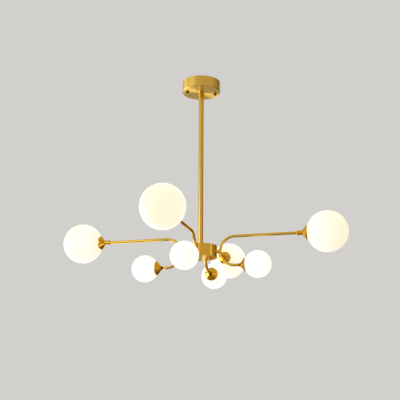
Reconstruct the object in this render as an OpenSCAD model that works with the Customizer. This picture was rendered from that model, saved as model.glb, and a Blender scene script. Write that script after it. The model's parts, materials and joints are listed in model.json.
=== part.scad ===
// Branch chandelier: a ceiling canopy, a straight stem, a drum hub and four C-shaped arms at
// right angles. Each arm ends in a large opal globe above and a small one below.
// Millimetres, +Z up. The origin is on the ceiling, on the axis of the stem.

/* [Canopy] */
// Outer diameter of the canopy
canopy_d = 148; // [140:1:180]
// Distance from the ceiling to the canopy's underside
canopy_drop = 42; // [38:1:60]
// Thickness of the canopy's sheet
canopy_wall = 1.5; // [1:0.1:2]
// Gap between the ceiling and the canopy's upper rim
ceiling_gap = 1.5; // [0.5:0.1:2]
// Distance of each canopy screw from the axis
canopy_screw_radius = 55; // [50:1:60]
// Direction of the line through the canopy screws, from +X
canopy_screw_angle = 26; // [15:1:40]

/* [Ceiling bracket] */
// Diameter of the bracket's round plate
bracket_d = 100; // [90:1:110]
// Thickness of the bracket's sheet
bracket_t = 2.5; // [2:0.1:3]
// Distance between the two ceiling-screw holes, along X
ceiling_hole_spacing = 70; // [60:1:80]
// Diameter of each ceiling-screw hole
ceiling_hole_d = 5.2; // [4:0.1:6]
// Diameter of the supply cable's entry hole
cable_entry_d = 14; // [10:1:16]

/* [Stem and hub] */
// Distance from the ceiling to the top of the hub
hub_drop = 656; // [400:1:900]
// Outer diameter of the stem
stem_d = 19; // [18:0.5:22]
// Outer diameter of the hub's drum
hub_d = 122; // [110:1:140]
// Height of the hub with its cover
hub_h = 45; // [40:1:60]
// Sheet thickness of the drum
hub_wall = 2; // [1.5:0.1:2.5]

/* [Arms] */
// Outer diameter of the arm tube
tube_d = 10.5; // [10.2:0.1:11]
// Radius of the half circle in each arm, on the tube's axis
bend_r = 54; // [50:1:60]
// Length of nipple showing between the hub and an arm
nipple_gap = 9; // [8:0.5:14]
// Distance from the stem's axis to the centre of a large globe
large_reach = 470; // [380:1:600]
// Distance from the stem's axis to the centre of a small globe
small_reach = 215; // [205:1:240]
// Length of the locking sleeve behind a large cup
sleeve_l = 21; // [15:1:30]
// Outer diameter of the locking sleeve
sleeve_d = 17; // [15:0.5:18]

/* [Globes] */
// Outer diameter of a large globe
large_d = 150; // [140:1:180]
// Outer diameter of a small globe
small_d = 100; // [96:1:110]
// Thickness of the glass
glass_t = 2.5; // [2:0.1:3]
// Outer diameter of a lamp cup's rim
cup_d = 50.8; // [50:0.1:52]

/* [Hidden] */
$fn = 96;

// Colours
brass = "#C9A04A";
steel = "#9A9C9E";
black_steel = "#2B2622";
porcelain = "#EFEDE6";
opal = "#FFFDF2";
rubber = "#D8D8D4";
cable_sheath = "#E6E2D8";

// Room between a thread or a shank and its hole, and the overlap of cutting solids
fit = 0.05;
cut = 1;

// Canopy, its screws and the bracket
canopy_bottom_t = 2.5;
canopy_edge_r = 2;
ear_w = 22;
ear_end_room = 8;
cable_entry_y = 30;
canopy_screw_r = 2;
screw_head_r = 4;
screw_head_h = 9;
screw_head_bevel = 0.8;
screw_slot_w = 1;
screw_slot_h = 1.4;
washer_flange_r = 7.2;
washer_flange_h = 0.9;
washer_barrel_r = 5.1;
washer_barrel_h = 3.6;
washer_floor_t = 0.8;
washer_bore_r = 4.2;
washer_hole_r = 2.3;

// Terminal block
block_size = [34, 18, 14];
block_poles = 3;
block_pitch = 10;
pole_screw_r = 2.4;
pole_hole_depth = 7;
pole_bore_r = 1.8;

// Threaded ends of the stem, and their nuts
stud_r = 6.5;
stud_l = 14;
stem_wall = 1.5;
stem_plug_l = 12;
stem_bore_r = 4.2;
cable_r = 4;
stem_nut_r = 10.4;
stem_nut_h = 5;
washer_r = 12;
washer_h = 1.2;

// Hub cover
cover_t = 2.4;
cover_lip = 0.8;
cover_bevel = 0.7;
spigot_h = 5;
spigot_t = 1.5;
hub_bevel = 0.5;

// Arms: nipples, nuts and leads
nipple_r = 6.2;
nipple_thread_r = 4.6;
nipple_thread_l = 9;
nipple_bore_r = 2.8;
nipple_wrap = 2;
arm_nut_r = 8;
arm_nut_h = 4;
arm_nut_room = 0.7;
tube_wall = 1;
lead_r = 2.4;
lead_step = 0.1;
feed_r = 2.1;
splice_r = 12;
splice_h = 12;
sleeve_chamfer = 1.4;

// Lamp cup, measured outwards along the arm from the cup's small end
cup_base_r = 6.4;
cup_cone_h = 14.6;
cup_cone_r = cup_d / 2 - 1;
cup_lip_h = 6;
cup_lip_t = 1.2;
cup_lip_bevel = 0.7;
cup_rim_bevel = 0.8;
cup_sheet = 1.2;
cup_floor_h = 4;
cup_rim_z = cup_cone_h + cup_lip_h;
tube_end_z = 9;

// Lampholder and bulb
holder_r = 9;
holder_end_z = 20;
holder_bore_end_z = 9.5;
pin_spacing = 9;
pin_r = 0.6;
pin_hole_r = 0.9;
pin_l = 8;
bulb_r = 8;
bulb_base_l = 9;
bulb_end_z = 66;
bulb_step = 0.6;

// Seal and globe neck
seal_t = 1.5;
seal_room = 0.4;
seal_r = cup_d / 2 - cup_lip_t - seal_room;
seal_bore_r = 20.6;
neck_room = 0.7;
neck_r = cup_d / 2 - cup_lip_t - neck_room;
neck_bore_r = 20.8;
neck_start_z = cup_cone_h + seal_t;
rim_room = 0.4;

// Places worked out from the sizes above
hub_r = hub_d / 2;
tube_r = tube_d / 2;
arm_mid_z = -hub_drop - hub_h / 2;
bend_x = hub_r + nipple_gap + tube_r + bend_r;
stem_end_z = -hub_drop;

SIDES = ["right", "back", "left", "front"];

// Direction of an arm, in degrees from +X
function side_angle(side) = 90 * search([side], SIDES)[0];

function globe_r(size) = (size == "large" ? large_d : small_d) / 2;
function reach(size) = size == "large" ? large_reach : small_reach;
function tier_z(size) = arm_mid_z + (size == "large" ? bend_r : -bend_r);

// Distance from the rim's plane to the globe's centre, with the rim just clear of the glass
function hug(size) = sqrt(pow(globe_r(size), 2) - pow(cup_d / 2, 2)) + rim_room;

// Height of the globe's centre above the cup's small end, and that end's distance from the stem
function centre_z(size) = cup_rim_z + hug(size);
function cup_x(size) = reach(size) - centre_z(size);

// Turns +Z into +X
module outwards() {
  rotate([0, 90, 0]) children();
}

// Puts a piece drawn along +Z, from the cup's small end, on the end of an arm
module on_arm(side, size) {
  rotate([0, 0, side_angle(side)])
    translate([cup_x(size), 0, tier_z(size)])
      outwards() children();
}

// A tube or pipe drawn by its bore and outer radius
module ring(outer, bore, height) {
  difference() {
    cylinder(r = outer, h = height);
    translate([0, 0, -cut]) cylinder(r = bore, h = height + 2 * cut);
  }
}

// Puts a piece at each of the two canopy screws
module at_canopy_screws() {
  for (turn = [0, 180])
    rotate([0, 0, canopy_screw_angle + turn])
      translate([canopy_screw_radius, 0, 0]) children();
}

module ceiling_bracket() {
  ear_l = 2 * (canopy_screw_radius + ear_end_room);
  color(steel)
    difference() {
      translate([0, 0, -bracket_t])
        union() {
          cylinder(d = bracket_d, h = bracket_t);
          rotate([0, 0, canopy_screw_angle])
            translate([-ear_l / 2, -ear_w / 2, 0]) cube([ear_l, ear_w, bracket_t]);
        }
      for (side = [-1, 1])
        translate([side * ceiling_hole_spacing / 2, 0, -bracket_t - cut])
          cylinder(d = ceiling_hole_d, h = bracket_t + 2 * cut);
      translate([0, cable_entry_y, -bracket_t - cut])
        cylinder(d = cable_entry_d, h = bracket_t + 2 * cut);
      at_canopy_screws()
        translate([0, 0, -bracket_t - cut])
          cylinder(r = canopy_screw_r + fit, h = bracket_t + 2 * cut);
    }
}

module canopy() {
  r = canopy_d / 2;
  color(brass)
    difference() {
      rotate_extrude()
        difference() {
          union() {
            translate([0, -canopy_drop]) square([r - canopy_edge_r, canopy_drop - ceiling_gap]);
            translate([0, -canopy_drop + canopy_edge_r])
              square([r, canopy_drop - ceiling_gap - canopy_edge_r]);
            translate([r - canopy_edge_r, -canopy_drop + canopy_edge_r])
              circle(r = canopy_edge_r);
          }
          translate([-cut, -canopy_drop + canopy_bottom_t])
            square([r - canopy_wall + cut, canopy_drop]);
          translate([-2 * r, -2 * canopy_drop]) square([2 * r, 3 * canopy_drop]);
        }
      translate([0, 0, -canopy_drop - cut])
        cylinder(r = stud_r + fit, h = canopy_bottom_t + 2 * cut);
      at_canopy_screws()
        translate([0, 0, -canopy_drop - cut])
          cylinder(r = washer_barrel_r + fit, h = canopy_bottom_t + 2 * cut);
    }
}

// Cup washers: a turned barrel with a floor and a bevelled flange, set in the canopy's underside
module screw_cups() {
  color(brass)
    at_canopy_screws()
      translate([0, 0, -canopy_drop])
        difference() {
          union() {
            translate([0, 0, -washer_flange_h])
              cylinder(r1 = washer_flange_r - washer_flange_h, r2 = washer_flange_r,
                       h = washer_flange_h);
            cylinder(r = washer_barrel_r, h = washer_barrel_h);
          }
          translate([0, 0, -washer_flange_h - cut])
            cylinder(r = washer_bore_r, h = washer_flange_h + cut + washer_barrel_h - washer_floor_t);
          cylinder(r = washer_hole_r, h = washer_barrel_h + cut);
        }
}

// Thumb screws up into the bracket's ears; their tall slotted heads stand in the cup washers
module canopy_screws() {
  seat_z = -canopy_drop + washer_barrel_h - washer_floor_t;
  head_end_z = seat_z - screw_head_h;
  color(black_steel)
    at_canopy_screws()
      difference() {
        union() {
          translate([0, 0, head_end_z])
            cylinder(r1 = screw_head_r - screw_head_bevel, r2 = screw_head_r,
                     h = screw_head_bevel);
          translate([0, 0, head_end_z + screw_head_bevel])
            cylinder(r = screw_head_r, h = screw_head_h - screw_head_bevel);
          translate([0, 0, seat_z - cut]) cylinder(r = canopy_screw_r, h = cut - seat_z);
        }
        translate([-screw_head_r, -screw_slot_w / 2, head_end_z - cut])
          cube([2 * screw_head_r, screw_slot_w, screw_slot_h + cut]);
      }
}

module terminal_block() {
  color(porcelain)
    translate([0, 0, -bracket_t - block_size[2] / 2])
      difference() {
        cube(block_size, center = true);
        for (pole = [0:block_poles - 1])
          translate([(pole - (block_poles - 1) / 2) * block_pitch, 0, 0]) {
            translate([0, block_size[1] / 4, -block_size[2] / 2 - cut])
              cylinder(r = pole_screw_r, h = pole_hole_depth + cut);
            rotate([90, 0, 0])
              cylinder(r = pole_bore_r, h = block_size[1] + 2 * cut, center = true);
          }
      }
}

// Tube with a plug welded in each end; each plug carries a hollow thread
module stem() {
  r = stem_d / 2;
  top = -canopy_drop;
  color(brass)
    difference() {
      union() {
        translate([0, 0, stem_end_z]) cylinder(r = r, h = top - stem_end_z);
        translate([0, 0, stem_end_z - stud_l]) cylinder(r = stud_r, h = stud_l + cut);
        translate([0, 0, top - cut]) cylinder(r = stud_r, h = stud_l + cut);
      }
      translate([0, 0, stem_end_z + stem_plug_l])
        cylinder(r = r - stem_wall, h = top - stem_end_z - 2 * stem_plug_l);
      translate([0, 0, stem_end_z - stud_l - cut])
        cylinder(r = stem_bore_r, h = top - stem_end_z + 2 * stud_l + 2 * cut);
    }
}

module stem_nut() {
  difference() {
    union() {
      cylinder(r = washer_r, h = washer_h);
      translate([0, 0, washer_h]) cylinder(r = stem_nut_r, h = stem_nut_h, $fn = 6);
    }
    translate([0, 0, -cut]) cylinder(r = stud_r + fit, h = washer_h + stem_nut_h + 2 * cut);
  }
}

module stem_nuts() {
  color(steel) {
    translate([0, 0, -canopy_drop + canopy_bottom_t]) stem_nut();
    translate([0, 0, stem_end_z - hub_wall]) mirror([0, 0, 1]) stem_nut();
  }
}

module hub_body() {
  h = hub_h - cover_t;
  color(brass)
    difference() {
      translate([0, 0, stem_end_z - h]) {
        cylinder(r = hub_r, h = h - hub_bevel);
        translate([0, 0, h - hub_bevel])
          cylinder(r1 = hub_r, r2 = hub_r - hub_bevel, h = hub_bevel);
      }
      translate([0, 0, stem_end_z - h - cut])
        cylinder(r = hub_r - hub_wall, h = h - hub_wall + cut);
      translate([0, 0, stem_end_z - hub_wall - cut])
        cylinder(r = stud_r + fit, h = hub_wall + 2 * cut);
      for (side = SIDES)
        rotate([0, 0, side_angle(side)])
          translate([hub_r - 2 * hub_wall, 0, arm_mid_z])
            outwards() cylinder(r = nipple_thread_r + fit, h = 3 * hub_wall);
    }
}

// Disc with a slightly proud edge and a ring that springs into the drum
module hub_cover() {
  color(brass)
    translate([0, 0, stem_end_z - hub_h]) {
      difference() {
        union() {
          cylinder(r1 = hub_r + cover_lip - cover_bevel, r2 = hub_r + cover_lip, h = cover_bevel);
          translate([0, 0, cover_bevel])
            cylinder(r = hub_r + cover_lip, h = cover_t - cover_bevel);
          translate([0, 0, cover_t - fit])
            cylinder(r = hub_r - hub_wall - fit, h = spigot_h + fit);
        }
        translate([0, 0, cover_t])
          cylinder(r = hub_r - hub_wall - fit - spigot_t, h = spigot_h + cut);
      }
    }
}

// The half circle of an arm, open away from the hub: a solid of the given radius round the
// tube's axis
module arm_bend(r) {
  translate([bend_x, 0, arm_mid_z])
    rotate([90, -90, 0])
      rotate_extrude(angle = 180) translate([bend_r, 0]) circle(r = r);
}

// The two straights of an arm, from the given place on
module arm_straights(r, start, large_end, small_end) {
  translate([start, 0, tier_z("large")]) outwards() cylinder(r = r, h = large_end - start);
  translate([start, 0, tier_z("small")]) outwards() cylinder(r = r, h = small_end - start);
}

module arm_solid(r, large_end, small_end) {
  arm_bend(r);
  arm_straights(r, bend_x, large_end, small_end);
}

module arm(side) {
  large_end = cup_x("large") + tube_end_z;
  small_end = cup_x("small") + tube_end_z;
  color(brass)
    rotate([0, 0, side_angle(side)])
      difference() {
        arm_solid(tube_r, large_end, small_end);
        arm_solid(tube_r - tube_wall, large_end + cut, small_end + cut);
        translate([bend_x - bend_r - 2 * tube_r, 0, arm_mid_z])
          outwards() cylinder(r = nipple_bore_r, h = 2 * tube_r);
      }
}

// Collar between hub and arm, hollow, with a thread through the hub's wall
module arm_nipples() {
  color(brass)
    for (side = SIDES)
      rotate([0, 0, side_angle(side)])
        difference() {
          union() {
            difference() {
              translate([hub_r - hub_wall, 0, arm_mid_z])
                outwards() cylinder(r = nipple_r, h = hub_wall + nipple_gap + nipple_wrap);
              translate([0, 0, arm_mid_z - 2 * nipple_r])
                cylinder(r = hub_r, h = 4 * nipple_r);
            }
            translate([hub_r - nipple_thread_l, 0, arm_mid_z])
              outwards() cylinder(r = nipple_thread_r, h = nipple_thread_l + nipple_gap / 2);
          }
          translate([bend_x, 0, arm_mid_z])
            rotate([90, 0, 0])
              rotate_extrude() translate([bend_r, 0]) circle(r = tube_r);
          translate([hub_r - nipple_thread_l - cut, 0, arm_mid_z])
            outwards() cylinder(r = nipple_bore_r, h = 3 * nipple_thread_l);
        }
}

module arm_nuts() {
  color(steel)
    for (side = SIDES)
      rotate([0, 0, side_angle(side)])
        translate([hub_r - hub_wall - arm_nut_room - arm_nut_h, 0, arm_mid_z])
          outwards()
            difference() {
              cylinder(r = arm_nut_r, h = arm_nut_h, $fn = 6);
              translate([0, 0, -cut])
                cylinder(r = nipple_thread_r + fit, h = arm_nut_h + 2 * cut);
            }
}

// Stem cable down to a round splice in the hub, and from the splice a lead through each nipple
// that forks to both lampholders of its arm
module wiring() {
  color(cable_sheath) {
    translate([0, 0, arm_mid_z])
      cylinder(r = cable_r, h = -bracket_t - block_size[2] - arm_mid_z);
    translate([0, 0, arm_mid_z - splice_h / 2]) cylinder(r = splice_r, h = splice_h);
    for (side = SIDES)
      rotate([0, 0, side_angle(side)]) {
        translate([splice_r - cut, 0, arm_mid_z])
          outwards() cylinder(r = feed_r, h = bend_x - bend_r - splice_r + cut);
        arm_bend(lead_r);
        arm_straights(lead_r - lead_step, bend_x - cut, cup_x("large") + tube_end_z,
                      cup_x("small") + tube_end_z);
      }
  }
}

// Locking sleeve on the arm, behind a large cup
module sleeve(side) {
  slope = (cup_cone_r - cup_base_r) / cup_cone_h;
  butt_z = (sleeve_d / 2 - cup_base_r) / slope;
  color(brass)
    on_arm(side, "large")
      difference() {
        translate([0, 0, butt_z - sleeve_l]) {
          cylinder(r1 = sleeve_d / 2 - sleeve_chamfer, r2 = sleeve_d / 2, h = sleeve_chamfer);
          translate([0, 0, sleeve_chamfer])
            cylinder(r = sleeve_d / 2, h = sleeve_l - sleeve_chamfer);
        }
        translate([0, 0, -sleeve_l]) cylinder(r = tube_r + fit, h = 2 * sleeve_l);
        cylinder(r1 = cup_base_r + fit, r2 = cup_cone_r + fit, h = cup_cone_h);
      }
}

// Conical cup with a straight lip; a ledge inside the lip carries the seal
module cup(side, size) {
  slope = (cup_cone_r - cup_base_r) / cup_cone_h;
  sheet = cup_sheet * sqrt(1 + slope * slope);
  floor_r = cup_base_r + slope * cup_floor_h - sheet;
  ledge_r = cup_cone_r - sheet;
  rim_r = cup_d / 2;
  color(brass)
    on_arm(side, size)
      rotate_extrude()
        polygon([
          [tube_r + fit, 0], [cup_base_r, 0], [cup_cone_r, cup_cone_h],
          [rim_r, cup_cone_h + cup_lip_bevel], [rim_r, cup_rim_z],
          [rim_r - cup_lip_t, cup_rim_z - cup_rim_bevel], [rim_r - cup_lip_t, cup_cone_h],
          [ledge_r, cup_cone_h], [floor_r, cup_floor_h], [tube_r + fit, cup_floor_h]]);
}

// Ceramic holder, screwed on the arm's end inside the cup, with two holes for the bulb's pins
module lampholder(side, size) {
  color(porcelain)
    on_arm(side, size)
      difference() {
        translate([0, 0, cup_floor_h]) cylinder(r = holder_r, h = holder_end_z - cup_floor_h);
        translate([0, 0, cup_floor_h - cut])
          cylinder(r = tube_r + fit, h = holder_bore_end_z - cup_floor_h + cut);
        for (pin = [-1, 1])
          translate([pin * pin_spacing / 2, 0, holder_end_z - pin_l - cut])
            cylinder(r = pin_hole_r, h = pin_l + 2 * cut);
      }
}

// Capsule bulb: a wide base with two pins, and a round-ended body
module bulb(side, size) {
  body_r = bulb_r - bulb_step;
  color(opal)
    on_arm(side, size) {
      translate([0, 0, holder_end_z]) cylinder(r = bulb_r, h = bulb_base_l);
      translate([0, 0, holder_end_z])
        cylinder(r = body_r, h = bulb_end_z - body_r - holder_end_z);
      translate([0, 0, bulb_end_z - body_r]) sphere(r = body_r);
      for (pin = [-1, 1])
        translate([pin * pin_spacing / 2, 0, holder_end_z - pin_l])
          cylinder(r = pin_r, h = pin_l + cut);
    }
}

module seal(side, size) {
  color(rubber)
    on_arm(side, size)
      translate([0, 0, cup_cone_h]) ring(seal_r, seal_bore_r, seal_t);
}

// Blown globe, one solid with its neck
module globe(side, size) {
  r = globe_r(size);
  neck_l = centre_z(size) - neck_start_z;
  color(opal)
    on_arm(side, size)
      difference() {
        union() {
          translate([0, 0, centre_z(size)]) sphere(r = r);
          translate([0, 0, neck_start_z]) cylinder(r = neck_r, h = neck_l);
        }
        translate([0, 0, centre_z(size)]) sphere(r = r - glass_t);
        cylinder(r = neck_bore_r, h = centre_z(size));
      }
}

ceiling_bracket();
canopy();
canopy_screws();
screw_cups();
terminal_block();
stem();
stem_nuts();
hub_body();
hub_cover();
arm_nipples();
arm_nuts();
wiring();
arm("right");  // arm_right
arm("back");  // arm_back
arm("left");  // arm_left
arm("front");  // arm_front
sleeve("right");  // sleeve_right
sleeve("back");  // sleeve_back
sleeve("left");  // sleeve_left
sleeve("front");  // sleeve_front
cup("right", "large");  // cup_right_large
cup("back", "large");  // cup_back_large
cup("left", "large");  // cup_left_large
cup("front", "large");  // cup_front_large
cup("right", "small");  // cup_right_small
cup("back", "small");  // cup_back_small
cup("left", "small");  // cup_left_small
cup("front", "small");  // cup_front_small
lampholder("right", "large");  // lampholder_right_large
lampholder("back", "large");  // lampholder_back_large
lampholder("left", "large");  // lampholder_left_large
lampholder("front", "large");  // lampholder_front_large
lampholder("right", "small");  // lampholder_right_small
lampholder("back", "small");  // lampholder_back_small
lampholder("left", "small");  // lampholder_left_small
lampholder("front", "small");  // lampholder_front_small
bulb("right", "large");  // bulb_right_large
bulb("back", "large");  // bulb_back_large
bulb("left", "large");  // bulb_left_large
bulb("front", "large");  // bulb_front_large
bulb("right", "small");  // bulb_right_small
bulb("back", "small");  // bulb_back_small
bulb("left", "small");  // bulb_left_small
bulb("front", "small");  // bulb_front_small
seal("right", "large");  // seal_right_large
seal("back", "large");  // seal_back_large
seal("left", "large");  // seal_left_large
seal("front", "large");  // seal_front_large
seal("right", "small");  // seal_right_small
seal("back", "small");  // seal_back_small
seal("left", "small");  // seal_left_small
seal("front", "small");  // seal_front_small
globe("right", "large");  // globe_right_large
globe("back", "large");  // globe_back_large
globe("left", "large");  // globe_left_large
globe("front", "large");  // globe_front_large
globe("right", "small");  // globe_right_small
globe("back", "small");  // globe_back_small
globe("left", "small");  // globe_left_small
globe("front", "small");  // globe_front_small
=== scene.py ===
"""Looks of the branch chandelier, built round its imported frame.

Blender works in metres, in the frame of the part: +Z up, with the origin on the ceiling and on the
stem's axis. Sizes in this file are millimetres, and MM turns them to metres where a mesh is made.
A piece that was turned on a lathe is drawn along its own Z and then put on its arm.
"""

import json
import logging
import math
from collections.abc import Callable
from dataclasses import dataclass, field
from enum import Enum

import bpy
from mathutils import Matrix, Vector

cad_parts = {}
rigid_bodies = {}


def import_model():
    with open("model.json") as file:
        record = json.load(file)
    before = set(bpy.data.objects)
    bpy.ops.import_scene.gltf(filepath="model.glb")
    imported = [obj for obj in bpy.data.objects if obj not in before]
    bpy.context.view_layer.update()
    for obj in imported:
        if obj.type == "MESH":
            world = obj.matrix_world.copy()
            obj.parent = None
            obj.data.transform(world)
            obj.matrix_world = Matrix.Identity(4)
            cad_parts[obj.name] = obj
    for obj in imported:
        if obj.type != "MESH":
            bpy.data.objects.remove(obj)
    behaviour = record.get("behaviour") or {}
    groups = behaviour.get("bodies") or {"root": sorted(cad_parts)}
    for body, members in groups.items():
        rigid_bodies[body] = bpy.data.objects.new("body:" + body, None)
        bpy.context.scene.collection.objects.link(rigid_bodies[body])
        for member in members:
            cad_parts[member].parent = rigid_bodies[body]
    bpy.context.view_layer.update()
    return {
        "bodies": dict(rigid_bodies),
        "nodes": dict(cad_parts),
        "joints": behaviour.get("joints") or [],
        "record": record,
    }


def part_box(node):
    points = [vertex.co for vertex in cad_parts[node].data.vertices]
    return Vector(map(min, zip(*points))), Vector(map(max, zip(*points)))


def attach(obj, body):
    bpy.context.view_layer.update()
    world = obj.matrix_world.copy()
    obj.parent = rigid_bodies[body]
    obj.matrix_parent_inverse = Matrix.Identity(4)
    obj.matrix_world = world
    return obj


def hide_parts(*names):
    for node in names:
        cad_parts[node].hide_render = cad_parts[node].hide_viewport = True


LOG = logging.getLogger("branch_chandelier")
MM = 0.001
FULL_TURN = 2 * math.pi
TINY = 1e-6
FIXTURE = "fixture"

# How far an edge is rounded: one that stays crisp, and one with its burr taken off.
CRISP = 0.1
EASED = 0.2

Point = tuple[float, float]
Corner = tuple[float, float, float]
Colour = tuple[float, float, float, float]


# ---------------------------------------------------------------- names and places


class Side(Enum):
    """The four directions of the arms. The value is the angle from +X, in degrees."""

    RIGHT = 0
    BACK = 90
    LEFT = 180
    FRONT = 270

    @property
    def label(self) -> str:
        """The side's name as the nodes have it."""
        return self.name.lower()

    @property
    def turn(self) -> Matrix:
        """The turn about the stem that brings the right arm to this side."""
        return Matrix.Rotation(math.radians(self.value), 4, "Z")


class Tier(Enum):
    """The two ends of an arm: the upper one has the large globe, the lower one the small globe."""

    LARGE = "large"
    SMALL = "small"


@dataclass(frozen=True)
class Extent:
    """The box of a node at rest, in millimetres."""

    low: Vector
    high: Vector

    @classmethod
    def of(cls, node: str) -> "Extent":
        """Reads a node's box from the frame and turns it to millimetres."""
        low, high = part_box(node)
        return cls(low / MM, high / MM)

    @property
    def size(self) -> Vector:
        """Lengths along X, Y and Z."""
        return self.high - self.low

    @property
    def centre(self) -> Vector:
        """Middle of the box."""
        return (self.high + self.low) / 2


# The turn that lays a lathe's axis, Z, along the right arm.
OUTWARDS = Matrix.Rotation(math.radians(90), 4, "Y")


def tube_radius() -> float:
    """Radius of the arms' tube, which lies in the X-Z plane at the right."""
    return Extent.of("arm_right").size.y / 2


def lamp_place(side: Side, tier: Tier) -> Matrix:
    """Gives the axes of a lamp: Z along the arm, outwards, from the cup's small end.

    Args:
        side: the arm's side.
        tier: which end of the arm.

    Returns:
        The place, in metres.
    """
    cup = Extent.of(f"cup_right_{tier.value}")
    start = Vector((cup.low.x, 0.0, cup.centre.z)) * MM
    return side.turn @ Matrix.Translation(start) @ OUTWARDS


# ---------------------------------------------------------------- outlines and meshes


def arc(centre: Point, radius: float, start: float, end: float, steps: int) -> list[Point]:
    """Lays points along a circle's arc.

    Args:
        centre: centre of the circle, as (r, z).
        radius: radius of the circle.
        start: angle of the first point, in degrees from the r axis.
        end: angle of the last point.
        steps: number of chords.

    Returns:
        The points, both ends included.
    """
    angles = [math.radians(start + (end - start) * i / steps) for i in range(steps + 1)]
    return [(centre[0] + radius * math.cos(a), centre[1] + radius * math.sin(a)) for a in angles]


def rounded(corners: list[Corner], steps: int = 4) -> list[Point]:
    """Turns a closed outline of corners into one whose corners are rounded.

    Args:
        corners: (r, z, rounding radius) of each corner, in order round the outline.
        steps: number of chords in each rounding.

    Returns:
        The outline's points.
    """
    points: list[Point] = []
    for index, (r, z, radius) in enumerate(corners):
        corner = Vector((r, z))
        before = (Vector(corners[index - 1][:2]) - corner).normalized()
        after = (Vector(corners[(index + 1) % len(corners)][:2]) - corner).normalized()
        half = before.angle(after) / 2
        centre = corner + (before + after).normalized() * radius / math.sin(half)
        reach = radius / math.tan(half)
        first = corner + before * reach - centre
        last = corner + after * reach - centre
        swing = first.angle_signed(last)
        for step in range(steps + 1):
            turn = Matrix.Rotation(-swing * step / steps, 2)
            points.append(tuple(centre + turn @ first))
    return points


def split(start: Point, end: Point, longest: float) -> list[Point]:
    """Splits a straight stretch of an outline into chords of one length.

    Args:
        start: the first point.
        end: the last point.
        longest: the longest chord that may stay.

    Returns:
        The points, both ends included.
    """
    first, last = Vector(start), Vector(end)
    parts = max(1, math.ceil((last - first).length / longest))
    return [tuple(first.lerp(last, part / parts)) for part in range(parts + 1)]


@dataclass
class Grid:
    """A mesh of rings of points, each ring joined to the next one by four-sided faces.

    Its texture runs from 0 to 1 round a ring, and in metres from ring to ring.
    """

    name: str
    points: list[Vector] = field(default_factory=list)
    faces: list[list[int]] = field(default_factory=list)
    corners_uv: list[list[Point]] = field(default_factory=list)

    def ring(self, points: list[Vector]) -> list[int]:
        """Adds a ring of points, or a single point on the axis.

        Args:
            points: the ring's points, in millimetres.

        Returns:
            Their indices.
        """
        start = len(self.points)
        self.points += points
        return list(range(start, len(self.points)))

    def band(self, first: list[int], second: list[int], v_first: float, v_second: float) -> None:
        """Joins two rings of the same number of points, either of which may be a single point.

        Between two single points there is nothing to join.

        Args:
            first: indices of the first ring's points.
            second: indices of the second ring's points.
            v_first: the second texture coordinate at the first ring.
            v_second: the same at the second ring.
        """
        count = max(len(first), len(second))
        if count == 1:
            return
        for step in range(count):
            after = (step + 1) % count
            u_here, u_after = step / count, (step + 1) / count
            loop: list[tuple[int, Point]] = [(first[step % len(first)], (u_here, v_first))]
            if len(first) > 1:
                loop.append((first[after], (u_after, v_first)))
            loop.append((second[after % len(second)], (u_after, v_second)))
            if len(second) > 1:
                loop.append((second[step], (u_here, v_second)))
            self.faces.append([index for index, _ in loop])
            self.corners_uv.append([uv for _, uv in loop])

    def skin(self, rings: list[list[int]], lengths: list[float]) -> None:
        """Joins each ring to the next one.

        Args:
            rings: indices of each ring's points.
            lengths: how far along the outline or the path each ring stands, in metres.
        """
        for index in range(len(rings) - 1):
            self.band(rings[index], rings[index + 1], lengths[index], lengths[index + 1])

    def lid(self, ring: list[int], flip: bool) -> None:
        """Closes a ring with one flat face.

        Args:
            ring: indices of the ring's points.
            flip: whether the face looks the other way.
        """
        order = list(reversed(ring)) if flip else list(ring)
        self.faces.append(order)
        self.corners_uv.append([(0.0, 0.0)] * len(order))

    def build(self) -> bpy.types.Object:
        """Makes the object, smooth and with normals that keep its flat faces flat.

        Returns:
            The new object, linked to the scene.
        """
        mesh = bpy.data.meshes.new(self.name)
        mesh.from_pydata([point * MM for point in self.points], [], self.faces)
        layer = mesh.uv_layers.new(name="UVMap")
        for polygon, uvs in zip(mesh.polygons, self.corners_uv):
            for loop, uv in zip(polygon.loop_indices, uvs):
                layer.data[loop].uv = uv
        mesh.shade_smooth()
        mesh.validate()
        piece = bpy.data.objects.new(self.name, mesh)
        bpy.context.scene.collection.objects.link(piece)
        weighted = piece.modifiers.new("flat_faces", "WEIGHTED_NORMAL")
        weighted.keep_sharp = True
        return piece


def turned(
    name: str,
    outline: list[Point],
    segments: int,
    swell: Callable[[float, float, float], float] | None = None,
) -> bpy.types.Object:
    """Turns a closed outline about Z, as a lathe does.

    Args:
        name: the piece's name.
        outline: (r, z) points; going round them, the material is on the left.
        segments: number of points on each ring.
        swell: what to add to the radius at (angle, r, z), for a thread or a knurl. None adds nothing.

    Returns:
        The new object.
    """
    grid = Grid(name)
    rings: list[list[int]] = []
    lengths: list[float] = [0.0]
    for index, (r, z) in enumerate(outline):
        if r < TINY:
            rings.append(grid.ring([Vector((0.0, 0.0, z))]))
        else:
            circle: list[Vector] = []
            for step in range(segments):
                angle = FULL_TURN * step / segments
                reach = r + (swell(angle, r, z) if swell else 0.0)
                circle.append(Vector((reach * math.cos(angle), reach * math.sin(angle), z)))
            rings.append(grid.ring(circle))
        chord = (Vector(outline[(index + 1) % len(outline)]) - Vector((r, z))).length
        lengths.append(lengths[-1] + chord * MM)
    grid.skin(rings + [rings[0]], lengths)
    return grid.build()


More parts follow.
